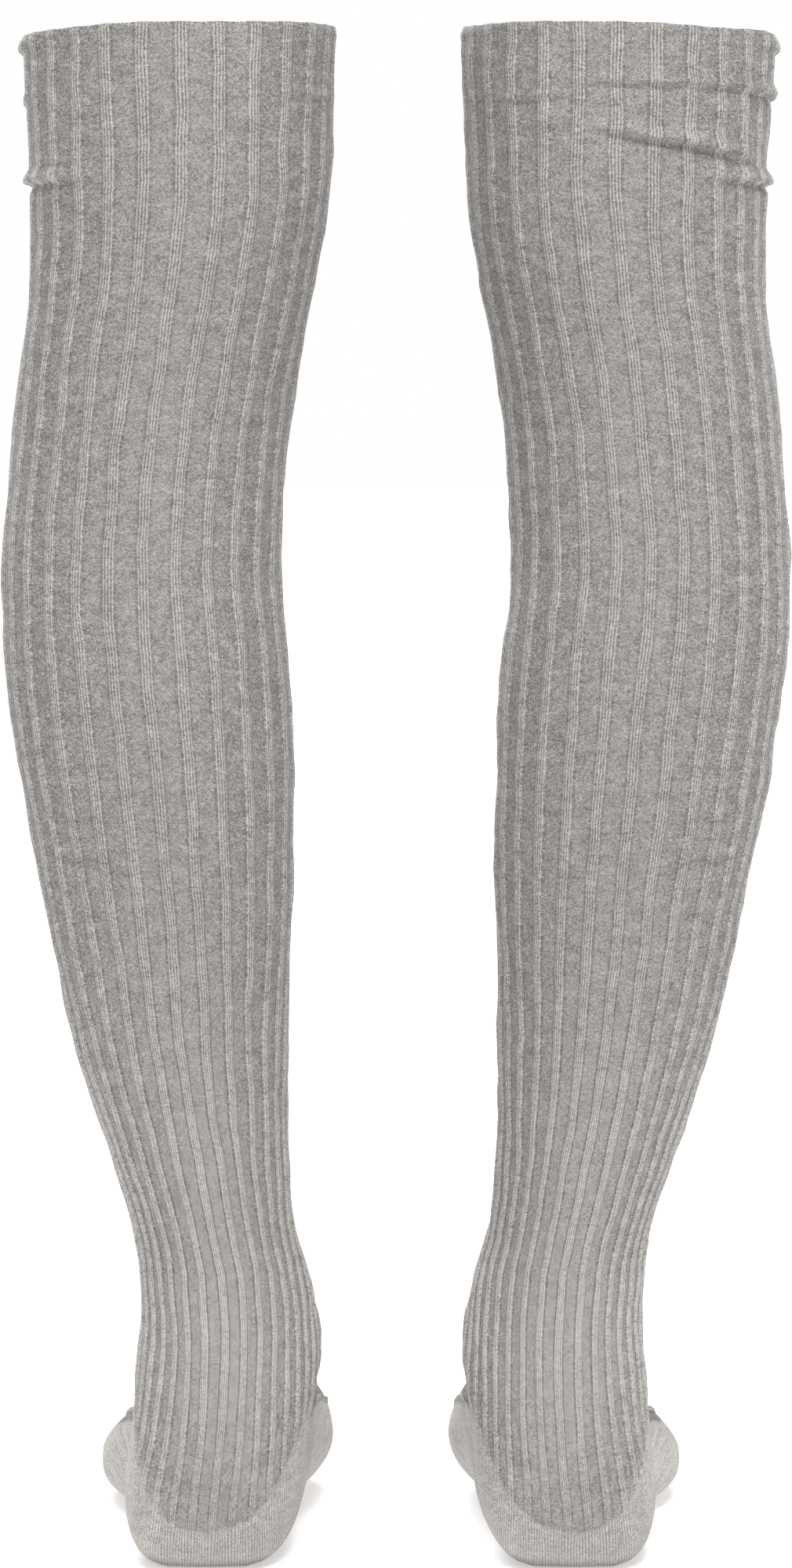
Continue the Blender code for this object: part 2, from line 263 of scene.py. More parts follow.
FOLDS = {
    Side.LEFT: (
        Fold(0.6036, 96.0, 32.0, 0.0018, 0.0030, 0.0, 0.4),
        Fold(0.5825, 92.0, 27.0, 0.0011, 0.0028, 0.0, 0.6),
        Fold(0.5516, 86.0, 46.0, 0.0027, 0.0032, 0.0004, 0.8),
        Fold(0.5838, -56.0, 26.0, 0.0006, 0.0020, 0.0006, 0.4),
        Fold(0.5905, -62.0, 22.0, 0.0003, 0.0016, -0.0006, 0.4),
        Fold(0.5740, 198.0, 48.0, 0.0014, 0.0026, -0.003, 0.7, 0.003),
        Fold(0.5700, 236.0, 28.0, 0.0010, 0.0022, 0.002, 0.6, 0.002),
        Fold(0.5550, -142.0, 30.0, 0.0013, 0.0024, 0.002, 0.7, 0.001),
        Fold(0.5470, 160.0, 30.0, 0.0009, 0.0024, 0.002, 0.6, 0.001),
    ),
    Side.RIGHT: (
        Fold(0.6036, 96.0, 32.0, 0.0018, 0.0030, 0.0, 0.4),
        Fold(0.5873, 30.0, 46.0, 0.0012, 0.0026, 0.0008, 1.0),
        Fold(0.5848, 86.0, 32.0, 0.0018, 0.0027, 0.0012, 0.8),
        Fold(0.5652, 23.0, 30.0, 0.0026, 0.0032, 0.0048, 1.0),
        Fold(0.5514, 82.0, 42.0, 0.0027, 0.0032, 0.0006, 0.8),
        Fold(0.5822, -38.0, 16.0, 0.0008, 0.0022, 0.0, 0.8),
        Fold(0.5765, 192.0, 44.0, 0.0013, 0.0026, 0.003, 0.7, 0.003),
        Fold(0.5660, 238.0, 26.0, 0.0010, 0.0024, -0.003, 0.6, 0.002),
        Fold(0.5590, -142.0, 30.0, 0.0012, 0.0024, -0.002, 0.7, 0.001),
        Fold(0.5460, 150.0, 28.0, 0.0008, 0.0024, -0.002, 0.6, 0.001),
    ),
}


@dataclass(frozen=True)
class Rings:
    """The cross-sections of a sock from hem to toe, one entry of each array for each ring.

    `turn` is the angle of a ring's plane from level, `y` and `height` say where the plane's zero
    line lies, and `near` and `far` run from there to the ring's two ends.
    """

    turn: np.ndarray
    y: np.ndarray
    height: np.ndarray
    near: np.ndarray
    far: np.ndarray
    outer: np.ndarray
    inner: np.ndarray
    egg: np.ndarray
    square: np.ndarray
    arch: np.ndarray
    sway: np.ndarray

    @classmethod
    def leg(cls, heights: np.ndarray) -> "Rings":
        """Level rings at heights from the floor."""
        front, back, outer, inner, egg = (
            LEG.read(name, heights) for name in ("front", "back", "outer", "inner", "egg")
        )
        none = np.zeros_like(heights)
        return cls(none, none, heights, -front, back, outer, inner, egg, none, none, none)

    @classmethod
    def heel(cls, turns: np.ndarray) -> "Rings":
        """Rings that fan about the pivot, at angles in degrees."""
        sizes = (HEEL.read(name, turns) for name in HEEL.columns[1:])
        here = np.ones_like(turns)
        return cls(np.radians(turns), here * PIVOT_Y, here * PIVOT_HEIGHT, *sizes)

    @classmethod
    def foot(cls, ahead: np.ndarray) -> "Rings":
        """Upright rings at distances in front of the leg's axis."""
        top, sole, *shape = (FOOT.read(name, ahead) for name in FOOT.columns[1:])
        none = np.zeros_like(ahead)
        upright = np.full_like(ahead, math.pi / 2)
        return cls(upright, -ahead, top, none, top - sole, *shape, none)

    @classmethod
    def joined(cls, parts: "Iterable[Rings]") -> "Rings":
        """Several stretches of rings as one."""
        fields = cls.__dataclass_fields__
        return cls(*(np.concatenate([getattr(p, name) for p in parts]) for name in fields))

    def outlines(self, samples: int = 720) -> np.ndarray:
        """Closed outlines of all the rings, from the back or sole centre by the outer side.

        The near half is half an ellipse. The far half is half a superellipse of the same width,
        whose exponent grows from 2 with `square`, less so by `arch` on the inner side. The
        width swells towards the far end by `egg`, and at its greatest it is what outer and
        inner say. Nothing goes under the floor.
        """
        angle = np.linspace(0.0, 2 * math.pi, samples + 1)[None, :]
        sine, cosine = np.sin(angle), np.cos(angle)
        ring = {name: getattr(self, name)[:, None] for name in self.__dataclass_fields__}
        bend = 1 - ring["square"] / 2 + ring["arch"] * (sine < 0)
        power = np.where(cosine > 0, bend, 1.0)
        half_width = (ring["outer"] - ring["inner"]) / 2 - Relief.RISE
        spread = np.sign(sine) * np.abs(sine) ** power * (1 + ring["egg"] * cosine)
        across = half_width * spread / np.abs(spread).max(axis=1, keepdims=True)
        reach = np.sign(cosine) * np.abs(cosine) ** power
        along = ring["near"] + (ring["far"] - ring["near"]) / 2 * (1 + reach)
        y = ring["y"] + along * np.cos(ring["turn"])
        z = ring["height"] - along * np.sin(ring["turn"])
        z = z * (1 - INSTEP_ROLL * np.sin(ring["turn"]) ** 2 * across / half_width)
        x = (ring["outer"] + ring["inner"]) / 2 + ring["sway"] * reach + across
        return np.stack((x, y, np.maximum(z, 0.0)), axis=2)


class Relief:
    """How the knit stands out of the wall: a rib's two plain wales, and the panel beside them."""

    RISE = 0.0009
    PROFILE = (0.42, 1.0, 0.82, 1.0, 0.42, -0.06, 0.0, 0.03, 0.0, 0.03, 0.0, 0.03, 0.0, -0.06)

    @classmethod
    def of_columns(cls) -> np.ndarray:
        """The height of each mesh column round the sock, as a share of the rise."""
        return np.tile(cls.PROFILE, RIBS)


def smooth_step(value: np.ndarray) -> np.ndarray:
    """Ease from 0 to 1 as the value goes from 0 to 1: three of its squares less two of its cubes."""
    t = np.clip(value, 0.0, 1.0)
    return t * t * (3 - 2 * t)


def stepped(stops: tuple[float, ...], steps: tuple[int, ...]) -> np.ndarray:
    """Places from the first stop to the last, in so many even steps from each to the next."""
    parts = [np.linspace(*ends, count + 1)[:-1] for *ends, count in zip(stops, stops[1:], steps)]
    return np.append(np.concatenate(parts), stops[-1])


def along_outlines(outlines: np.ndarray, shares: np.ndarray) -> np.ndarray:
    """Points on closed outlines at shares of their girth, read ring by ring.

    Args:
        outlines: rings of points, each closed by its first point.
        shares: for each ring, the shares of its girth that are wanted.

    Returns:
        The points, one ring for each ring of shares.
    """
    steps = np.linalg.norm(np.diff(outlines, axis=1), axis=2)
    lengths = np.concatenate((np.zeros((len(steps), 1)), np.cumsum(steps, axis=1)), axis=1)
    wanted = np.mod(shares, 1.0) * lengths[:, -1:]
    points = np.empty(shares.shape + (3,))
    for ring in range(len(shares)):
        for axis in range(3):
            points[ring, :, axis] = np.interp(wanted[ring], lengths[ring], outlines[ring, :, axis])
    return points


def outward(grid: np.ndarray) -> np.ndarray:
    """Unit normals of rings of points, from the differences along and round them."""
    along = np.gradient(grid, axis=0)
    round_it = np.roll(grid, -1, axis=1) - np.roll(grid, 1, axis=1)
    normals = np.cross(round_it, along)
    return normals / np.linalg.norm(normals, axis=2, keepdims=True)


@dataclass
class Surface:
    """A mesh in the making: points, faces, and values at the points and at the face corners."""

    points: np.ndarray
    quads: np.ndarray
    triangles: np.ndarray
    corner_wales: np.ndarray  # the wale at each face corner, quads first
    along: np.ndarray  # distances along the sock, for the knit of the leg
    plain: np.ndarray  # and for the plain knit of heel and sole
    edge: np.ndarray  # how far inside the ribbed cloth a point lies
    slack: np.ndarray  # 0 where the knit is stretched most, 1 where it is stretched least

    def mesh(self, name: str, flip: bool) -> bpy.types.Mesh:
        """Make the Blender mesh.

        Args:
            name: the mesh's name.
            flip: turn every face round, for a sock that is mirrored.

        Returns:
            The mesh, smooth shaded, with its UV maps and its attributes.
        """
        quads, triangles = self.quads, self.triangles
        split = 4 * len(quads)
        wales = [self.corner_wales[:split].reshape(-1, 4), self.corner_wales[split:].reshape(-1, 3)]
        if flip:
            quads, triangles = quads[:, ::-1], triangles[:, ::-1]
            wales = [part[:, ::-1] for part in wales]
        corners = np.concatenate((quads.ravel(), triangles.ravel()))
        wale = np.concatenate([part.ravel() for part in wales])
        mesh = bpy.data.meshes.new(name)
        mesh.from_pydata(self.points, [], quads.tolist() + triangles.tolist())
        for layer, distance in (("knit", self.along), ("plain", self.plain)):
            uv = np.stack((wale, distance[corners]), axis=1)
            mesh.uv_layers.new(name=layer).data.foreach_set("uv", uv.astype(np.float32).ravel())
        for layer, value in (("ribbed", self.edge), ("slack", self.slack)):
            held = mesh.attributes.new(layer, "FLOAT", "POINT")
            held.data.foreach_set("value", value.astype(np.float32))
        mesh.shade_smooth()
        return mesh


def add_object(name: str, data: Any) -> bpy.types.Object:
    """Put an object of some data into the scene."""
    thing = bpy.data.objects.new(name, data)
    bpy.context.scene.collection.objects.link(thing)
    return thing


def strip_faces(first: np.ndarray, second: np.ndarray) -> np.ndarray:
    """Quads between neighbouring rings of point numbers, which close on themselves."""
    return np.stack(
        (first, np.roll(first, -1, axis=-1), np.roll(second, -1, axis=-1), second), axis=-1
    ).reshape(-1, 4)


def strip_wales(rows: int, wales: np.ndarray) -> np.ndarray:
    """The wale at each corner of such quads. The last quad ends a whole lap on, not at the start."""
    after = np.append(wales[1:], wales[0] + WALES)
    corners = np.stack((wales, after, after, wales), axis=1)
    return np.tile(corners.ravel(), rows)


@dataclass
class Sock:
    """One sock: its outer face with ribs and folds, its rolled hem, its inner face and its toe."""

    side: Side
    folds: tuple[Fold, ...]
    seed: int
    ribs_wander: float = 0.016  # in rib pitches
    ribs_shiver: float = 0.010  # the same, over shorter waves
    lumps: float = 0.00022
    rib_rise_spread: float = 0.16  # how uneven the ribs' height is
    rib_fade: float = 0.004  # over how much cloth the ribs end
    taut_relief: float = 0.95  # how far the ribs stand out at full stretch
    slack_relief: float = 1.2  # and where the knit is slack
    loose_fold: float = 0.0032  # a fold that rises this far is as slack as an ankle
    fold_droop: float = 0.20  # how far a fold hangs down, for each metre of rise
    floor_clear: float = 0.012  # folds and lumps fade below this height
    hem_reach: float = 0.012  # how far down the hem's slope and waves are felt
    hem_wave: float = 0.00022
    hem_scallop: float = 0.00008  # rise of the hem at each rib
    hem_roll: float = 0.0005  # how far the edge swells
    hem_roll_below: float = 0.0016  # where it swells most, and over what height
    hem_press: float = 0.7  # share of the ribs' relief that the edge lacks
    hem_press_reach: float = 0.0025
    rim_rings: int = 4
    rim_height: float = 0.8  # the rim's height, as a share of a half circle's
    cap_shares: tuple[float, ...] = (0.8, 0.6, 0.4, 0.2)  # sizes of the toe bowl's rings
    toe_seam_ahead: float = 0.1905
    toe_seam_rise: float = 0.0007
    toe_seam_width: float = 0.0013
    toe_seam_bend: float = 0.006  # how much further back its ends lie
    toe_seam_half: float = 0.03  # half its length
    toe_seam_from: float = 0.15  # it lies ahead of this
    toe_seam_fade: float = 0.25  # and fades where the cloth faces up less than this
    toe_middle: float = 0.072  # from the pair's middle

    @property
    def name(self) -> str:
        """The sock's own name."""
        return f"{self.side.name.lower()}_sock_knit"

    @property
    def node(self) -> str:
        """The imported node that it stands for."""
        return f"sock_{self.side.name.lower()}"

    def rings(self) -> Rings:
        """All the sock's rings, closest together below the hem, at the heel's edge and at the toe."""
        leg = stepped(LEG_STOPS, LEG_STEPS)[:-1]
        turns = stepped(HEEL_STOPS, HEEL_STEPS)
        ahead = stepped(FOOT_STOPS, FOOT_STEPS)[1:]
        return Rings.joined((Rings.leg(leg), Rings.heel(turns), Rings.foot(ahead)))

    def rib_shares(self, rings: Rings, slack: np.ndarray, travel: np.ndarray) -> np.ndarray:
        """The share of the girth at which each mesh column stands, ring by ring.

        The columns stand evenly, less a sine that gathers the ribs at the back of the heel, plus
        a sine in each pitch that widens its rib, plus two ripples.

        Args:
            rings: the cross-sections.
            slack: for each ring, from 0 to 1.
            travel: for each ring, its distance along the sock.

        Returns:
            One row of shares for each ring.
        """
        even = EVEN_SHARES
        fade = smooth_step((SWELL_END_TURN - rings.turn) / SWELL_FADE_TURN)[:, None]
        swell = (RIB_SWELL + RIB_SWELL_SLACK * slack) * fade
        swelled = swell * np.sin(2 * math.pi * FROM_RIB)
        pull = RIB_GATHER * np.sin(2 * rings.turn[:, None]) ** 2
        gathered = even - pull * np.sin(2 * math.pi * even) / (2 * math.pi)
        wander = Ripple(self.seed, self.ribs_wander / RIBS, 9, 0.045, 0.16).at(even, travel)
        shiver = Ripple(self.seed + 7, self.ribs_shiver / RIBS, 27, 0.018, 0.040).at(even, travel)
        return gathered + swelled / (2 * math.pi * RIBS) + (wander + shiver)

    def surface(self) -> Surface:
        """Work out the whole sock.

        Outside, a point is the wall's point plus its normal times the sum of folds, lumps and
        rib relief. The hem's rim is half a circle from the outer face to the inner one. The
        inner face is the same wall without the ribs, one thickness further in. The toe is closed
        by a shallow bowl on each face.
        """
        rings = self.rings()
        outlines = rings.outlines()
        even = EVEN_SHARES
        middle = outlines[:, :-1].mean(axis=1)
        moved = np.linalg.norm(np.diff(middle, axis=0), axis=1)
        travel = np.concatenate(([0.0], np.cumsum(moved)))[:, None]
        girths = np.linalg.norm(np.diff(outlines, axis=1), axis=2).sum(axis=1)
        slack = smooth_step((TAUT_PITCH - girths / RIBS) / (TAUT_PITCH - SLACK_PITCH))[:, None]
        shares = self.rib_shares(rings, slack, travel)
        grid = along_outlines(outlines, shares)

        below_hem = (HEM_HEIGHT - grid[:, :, 2]).clip(0.0)
        hem = np.exp(-below_hem / self.hem_reach) * (rings.turn[:, None] == 0.0)
        slope = -HEM_SLOPE * (grid[:, :, 0] - grid[0, :, 0].mean())
        waves = Ripple(self.seed + 1, self.hem_wave, 7, 5.0, 9.0).at(even, 0.0)
        scallop = self.hem_scallop * np.cos(2 * math.pi * FROM_RIB)
        grid[:, :, 2] += hem * (slope + waves + scallop)

        normals = outward(grid)
        floor_free = smooth_step(grid[:, :, 2] / self.floor_clear)
        folds = sum(fold.lift(even, grid[:, :, 2]) for fold in self.folds + HIDDEN_FOLDS)
        lumps = Ripple(self.seed + 2, self.lumps, 6, 0.022, 0.09).at(even, travel)
        off_roll = (below_hem - self.hem_roll_below) / self.hem_roll_below
        roll = self.hem_roll * np.exp(-(off_roll**2)) * (hem > 0)
        shape = (folds + lumps) * floor_free + roll
        droop = self.fold_droop * (folds * floor_free).clip(0.0)[:, :, None] * DOWN

        step_along = np.linalg.norm(np.diff(grid, axis=0), axis=2)
        along = np.concatenate((np.zeros((1, COLUMNS)), np.cumsum(step_along, axis=0)))
        leg_rows = rings.turn == 0.0
        level = along.mean(axis=1, keepdims=True)
        last_leg = int(leg_rows.sum()) - 1
        along = np.where(leg_rows[:, None], level, level[last_leg] + along - along[last_leg])
        plain = self.plain_distance(rings, level[:, 0], last_leg)[:, None] + 0.0 * along

        edge = self.ribbed_edge(rings, grid, shares)
        uneven = 1 + Ripple(self.seed + 3, self.rib_rise_spread, 13, 0.012, 0.07).at(even, travel)
        stand = self.taut_relief + (self.slack_relief - self.taut_relief) * slack
        pressed = 1 - self.hem_press * np.exp(-below_hem / self.hem_press_reach)
        relief = Relief.of_columns()[None, :] * Relief.RISE * smooth_step(edge / self.rib_fade + 0.5)
        relief = relief * uneven * stand * pressed
        seam = self.toe_seam(grid, normals)
        outside = grid + normals * (shape + relief + seam)[:, :, None] + droop
        inside = (grid + normals * (shape - WALL)[:, :, None] + droop)[:, ::INNER_STEP]
        last = len(grid) - 1
        inside_rows = np.unique(np.append(np.arange(0, last, INNER_STEP), last))
        loose = np.maximum(slack, (folds / self.loose_fold).clip(0.0, 1.0))
        return self.assemble(outside, inside, inside_rows, (along, plain, edge, loose))

    def plain_distance(self, rings: Rings, level: np.ndarray, last_leg: int) -> np.ndarray:
        """Distance along the sock for the plain knit, the same all round each ring.

        In the leg it is the height gone down, round the heel an even radius times the turn, and
        in the foot the distance ahead.
        """
        heel = HEEL_RADIUS * rings.turn
        foot = np.where(rings.y < PIVOT_Y, PIVOT_Y - rings.y, 0.0)
        return np.minimum(level, level[last_leg]) + heel + foot

    def ribbed_edge(self, rings: Rings, grid: np.ndarray, shares: np.ndarray) -> np.ndarray:
        """Signed distance from the edge of the ribbed cloth, positive inside it.

        Behind the pivot the edge lies at the turn where the ribs end, and dips at the centre
        back. On the foot it is a share of the girth from the top, up to the toe cap.
        """
        end = RIB_END_TURN - HEEL_DIP * np.sin(2 * math.pi * shares) ** 2
        from_pivot = np.linalg.norm(grid[:, :, 1:] - (PIVOT_Y, PIVOT_HEIGHT), axis=2)
        back = (end - rings.turn[:, None]) * from_pivot
        girth = np.linalg.norm(np.roll(grid, -1, axis=1) - grid, axis=2).sum(axis=1, keepdims=True)
        instep = (INSTEP_SHARE - np.abs(np.mod(shares, 1.0) - 0.5)) * girth
        toe = (TOE_CAP_AHEAD + rings.y)[:, None]
        return np.maximum(back, np.minimum(instep, toe))

    def toe_seam(self, grid: np.ndarray, normals: np.ndarray) -> np.ndarray:
        """A narrow ridge over the top of the toe, where the closing seam lies."""
        bend = self.toe_seam_bend * ((grid[:, :, 0] - self.toe_middle) / self.toe_seam_half) ** 2
        off = (-grid[:, :, 1] - self.toe_seam_ahead + bend) / self.toe_seam_width
        ahead = grid[:, :, 1] < -self.toe_seam_from
        upper = smooth_step(normals[:, :, 2] / self.toe_seam_fade) * ahead
        return self.toe_seam_rise * np.exp(-(off**2)) * upper

    def assemble(
        self,
        outside: np.ndarray,
        inside: np.ndarray,
        inside_rows: np.ndarray,
        values: tuple[np.ndarray, ...],
    ) -> Surface:
        """Join the outer face, the rim, the inner face and the two toe bowls into one surface.

        Args:
            outside: points of the outer face, ring by ring.
            inside: points of the inner face, with fewer columns.
            inside_rows: the rings of it that are used.
            values: what the surface holds at each outer point, in the surface's order.

        Returns:
            The surface, mirrored and moved to its place.
        """
        turn = np.linspace(0.0, math.pi, self.rim_rings + 2)[1:-1][::-1][:, None, None]
        half = np.linalg.norm(outside[0] - self.widened(inside[0]), axis=1)[:, None] / 2
        centre = (outside[0] + self.widened(inside[0])) / 2
        outwards = (outside[0] - centre) / half
        rim = centre + half * (np.cos(turn) * outwards - self.rim_height * np.sin(turn) * DOWN)
        cap, tip = self.toe_bowl(outside[-1], TOE_TIP)
        outer = np.concatenate((rim, outside, cap))
        inner_cap, inner_tip = self.toe_bowl(inside[-1], TOE_TIP - WALL)
        inner = np.concatenate((inside[inside_rows], inner_cap))

        outer_ids = np.arange(outer.shape[0] * COLUMNS).reshape(-1, COLUMNS)
        columns = inner.shape[1]
        inner_ids = outer_ids.size + np.arange(inner.shape[0] * columns).reshape(-1, columns)
        tips = outer_ids.size + inner_ids.size + np.arange(2)

        outer_quads = strip_faces(outer_ids[:-1], outer_ids[1:])
        inner_quads = strip_faces(inner_ids[:-1], inner_ids[1:])[:, ::-1]
        outer_wales = strip_wales(len(outer_ids) - 1, COLUMN_WALES)
        inner_wales = strip_wales(len(inner_ids) - 1, COARSE_WALES).reshape(-1, 4)[:, ::-1].ravel()
        triangles, triangle_wales = self.closing(outer_ids, inner_ids, tips)

        points = np.concatenate((outer.reshape(-1, 3), inner.reshape(-1, 3), [tip, inner_tip]))
        held = []
        for value in values:
            first, last = np.repeat(value[:1], len(rim), 0), np.repeat(value[-1:], len(cap), 0)
            outer_value = np.concatenate((first, value, last))
            inner_value = np.concatenate((value[inside_rows], last))[:, ::INNER_STEP]
            held.append(np.concatenate((outer_value.ravel(), inner_value.ravel(), value[-1, :2])))
        sign = self.side.value
        points[:, 0] = sign * points[:, 0] + LEAN * (points[:, 2] - LEAN_HEIGHT)
        points[:, 2] -= HEM_HEIGHT
        corner_wales = np.concatenate((outer_wales, inner_wales, triangle_wales))
        quads = np.concatenate((outer_quads, inner_quads))
        return Surface(points, quads, triangles, corner_wales, *held)

    def widened(self, ring: np.ndarray) -> np.ndarray:
        """A ring of the inner face with as many points as the outer face, in straight steps."""
        after = np.roll(ring, -1, axis=0)
        steps = np.arange(INNER_STEP)[None, :, None] / INNER_STEP
        return (ring[:, None] * (1 - steps) + after[:, None] * steps).reshape(-1, 3)

    def toe_bowl(self, ring: np.ndarray, tip_ahead: float) -> tuple[np.ndarray, np.ndarray]:
        """Rings that close the toe: shrinking copies of the last ring on a parabola, and the tip."""
        centre = ring.mean(axis=0)
        share = np.array(self.cap_shares)[:, None, None]
        bowl = centre + (ring - centre) * share
        bowl[:, :, 1] = ring[:, 1] * share[:, :, 0] ** 2 - tip_ahead * (1 - share[:, :, 0] ** 2)
        return bowl, np.array([centre[0], -tip_ahead, centre[2]])

    def closing(
        self, outer_ids: np.ndarray, inner_ids: np.ndarray, tips: np.ndarray
    ) -> tuple[np.ndarray, np.ndarray]:
        """Triangles between the rim and the coarser inner face and round the toe's tips.

        Args:
            outer_ids: point numbers of the outer face, ring by ring.
            inner_ids: point numbers of the inner face.
            tips: the outer tip and the inner one.

        Returns:
            The triangles, and the wale at each of their corners.
        """
        column, coarse = COLUMN_WALES, COARSE_WALES
        after = np.append(column[1:], column[0] + WALES)
        coarse_after = np.append(coarse[1:], column[0] + WALES)

        rim, lip = outer_ids[0], inner_ids[0]
        fans = np.stack((np.repeat(lip, INNER_STEP), np.roll(rim, -1), rim), axis=1)
        fan_wales = np.stack((np.repeat(coarse, INNER_STEP), after, column), axis=1)
        wedge_tips = np.append(rim[INNER_STEP::INNER_STEP], rim[0])
        wedges = np.stack((lip, np.roll(lip, -1), wedge_tips), axis=1)
        wedge_wales = np.stack((coarse, coarse_after, coarse_after), axis=1)

        outer_last, inner_last = outer_ids[-1], inner_ids[-1]
        outer_tip = np.stack((outer_last, np.roll(outer_last, -1), np.full(COLUMNS, tips[0])), axis=1)
        inner_ends = np.full(len(inner_last), tips[1])
        inner_tip = np.stack((np.roll(inner_last, -1), inner_last, inner_ends), axis=1)
        outer_wales = np.stack((column, after, column), axis=1)
        inner_wales = np.stack((coarse_after, coarse, coarse_after), axis=1)
        triangles = np.concatenate((fans, wedges, outer_tip, inner_tip))
        wales = np.concatenate((fan_wales, wedge_wales, outer_wales, inner_wales))
        return triangles, wales.ravel()

    def build(self, material: bpy.types.Material) -> bpy.types.Object:
        """Make the sock's object, dress it, hang it on the root and hide the solid that it stands for.
        """
        mesh = self.surface().mesh(self.name, self.side is Side.RIGHT)
        mesh.materials.append(material)
        piece = add_object(self.name, mesh)
        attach(piece, "root")
        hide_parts(self.node)
        return piece


class Value:
    """A shader socket that takes part in Python sums: each operator adds one Math node."""

    def __init__(self, nodes: "Nodes", socket: Any) -> None:
        """Wrap a socket of the tree that `nodes` builds."""
        self.nodes = nodes
        self.socket = socket

    def math(self, operation: str, *others: Any) -> "Value":
        """A Math node on this value and the others."""
        return self.nodes.math(operation, self, *others)

    def __add__(self, other: Any) -> "Value":
        """The sum."""
        return self.math("ADD", other)

    def __sub__(self, other: Any) -> "Value":
        """The difference."""
        return self.math("SUBTRACT", other)

    def __mul__(self, other: Any) -> "Value":
        """The product."""
        return self.math("MULTIPLY", other)

    def __truediv__(self, other: Any) -> "Value":
        """The quotient."""
        return self.math("DIVIDE", other)

    def __rsub__(self, other: float) -> "Value":
        """A number less this value."""
        return self.nodes.math("SUBTRACT", other, self)

    def __rtruediv__(self, other: float) -> "Value":
        """A number over this value."""
        return self.nodes.math("DIVIDE", other, self)

    __radd__ = __add__
    __rmul__ = __mul__

    def cos(self) -> "Value":
        """The cosine."""
        return self.math("COSINE")

    def part(self) -> "Value":
        """What is left over a whole number."""
        return self.math("FRACT")

    def whole(self) -> "Value":
        """The whole number below."""
        return self.math("FLOOR")

    def size(self) -> "Value":
        """The value without its sign."""
        return self.math("ABSOLUTE")

    def eased(self, low: float, high: float) -> "Value":
        """A smooth rise from 0 at `low` to 1 at `high`."""
        node = self.nodes.add(
            "ShaderNodeMapRange",
            {"interpolation_type": "SMOOTHSTEP"},
            {"Value": self, "From Min": low, "From Max": high},
        )
        return Value(self.nodes, node.outputs["Result"])


class Nodes:
    """Builds the nodes of one material or of the surroundings."""

    def __init__(self, tree: bpy.types.NodeTree) -> None:
        """Work on a tree."""
        self.tree = tree

    def add(self, kind: str, settings: dict[str, Any], inputs: Any) -> Any:
        """Add a node.

        Args:
            kind: the node's type.
            settings: its properties, which are set first.
            inputs: values or links of its sockets, in their order or in a dict by name.

        Returns:
            The node.
        """
        node = self.tree.nodes.new(kind)
        for name, value in settings.items():
            setattr(node, name, value)
        pairs = inputs.items() if isinstance(inputs, dict) else enumerate(inputs)
        for key, value in pairs:
            self.feed(node.inputs[key], value)
        return node

    def feed(self, socket: Any, value: Any) -> None:
        """Link a value to a socket, or set the socket to it if it is a constant."""
        if isinstance(value, Value):
            self.tree.links.new(value.socket, socket)
        elif isinstance(value, bpy.types.NodeSocket):
            self.tree.links.new(value, socket)
        else:
            socket.default_value = value

    def math(self, operation: str, *values: Any) -> Value:
        """A Math node on values."""
        return Value(self, self.add("ShaderNodeMath", {"operation": operation}, values).outputs[0])

    def mixed(self, share: Any, first: Any, second: Any) -> Value:
        """A number between two."""
        node = self.add("ShaderNodeMix", {"data_type": "FLOAT"}, {0: share, 2: first, 3: second})
        return Value(self, node.outputs[0])

    def parts(self, vector: Any) -> tuple[Value, Value, Value]:
        """The three values of a vector."""
        node = self.add("ShaderNodeSeparateXYZ", {}, [vector])
        return tuple(Value(self, output) for output in node.outputs)


class Shader(Nodes):
    """Builds one material's nodes."""

    def __init__(self, name: str) -> None:
        """Start a material with a Principled shader."""
        self.material = bpy.data.materials.new(name)
        self.material.use_nodes = True
        super().__init__(self.material.node_tree)
        self.surface = self.tree.nodes["Principled BSDF"]

    def set(self, **constants: Any) -> None:
        """Set the shader's own sockets, with underscores for the spaces in their names."""
        for name, value in constants.items():
            self.surface.inputs[name.replace("_", " ")].default_value = value

    def uv(self, layer: str) -> tuple[Value, Value]:
        """The two coordinates of a UV map."""
        return self.parts(self.add("ShaderNodeUVMap", {"uv_map": layer}, []).outputs[0])[:2]

    def attribute(self, name: str) -> Value:
        """A number that the mesh holds at its points."""
        node = self.add("ShaderNodeAttribute", {"attribute_name": name}, [])
        return Value(self, node.outputs["Fac"])

    def vector(self, x: Any, y: Any, z: Any = 0.0) -> Any:
        """Three values as a vector."""
        return self.add("ShaderNodeCombineXYZ", {}, [x, y, z]).outputs[0]

    def place(self) -> Any:
        """The place in the object's own coordinates."""
        return self.add("ShaderNodeTexCoord", {}, []).outputs["Object"]

    def noise(self, where: Any, scale: float, detail: float, rough: float = 0.5) -> Value:
        """Smooth noise from 0 to 1."""
        node = self.add(
            "ShaderNodeTexNoise",
            {"noise_dimensions": "3D"},
            {"Vector": where, "Scale": scale, "Detail": detail, "Roughness": rough},
        )
        return Value(self, node.outputs["Fac"])

    def length(self, where: Any) -> Value:
        """How far a place is from the middle."""
        node = self.add("ShaderNodeVectorMath", {"operation": "LENGTH"}, [where])
        return Value(self, node.outputs["Value"])

    def speckle(self, where: Any) -> Value:
        """A random number for each different place."""
        node = self.add("ShaderNodeTexWhiteNoise", {"noise_dimensions": "3D"}, {"Vector": where})
        return Value(self, node.outputs["Value"])

    def mix(self, share: Any, first: Any, second: Any) -> Any:
        """A colour between two."""
        node = self.add("ShaderNodeMix", {"data_type": "RGBA"}, {0: share, 6: first, 7: second})
        return node.outputs[2]

    def raised(self, height: Value, distance: float) -> None:
        """Let a height bump the surface."""
        sizes = {"Height": height, "Distance": distance, "Strength": 1.0}
        bump = self.add("ShaderNodeBump", {}, sizes)
        self.feed(self.surface.inputs["Normal"], bump.outputs[0])


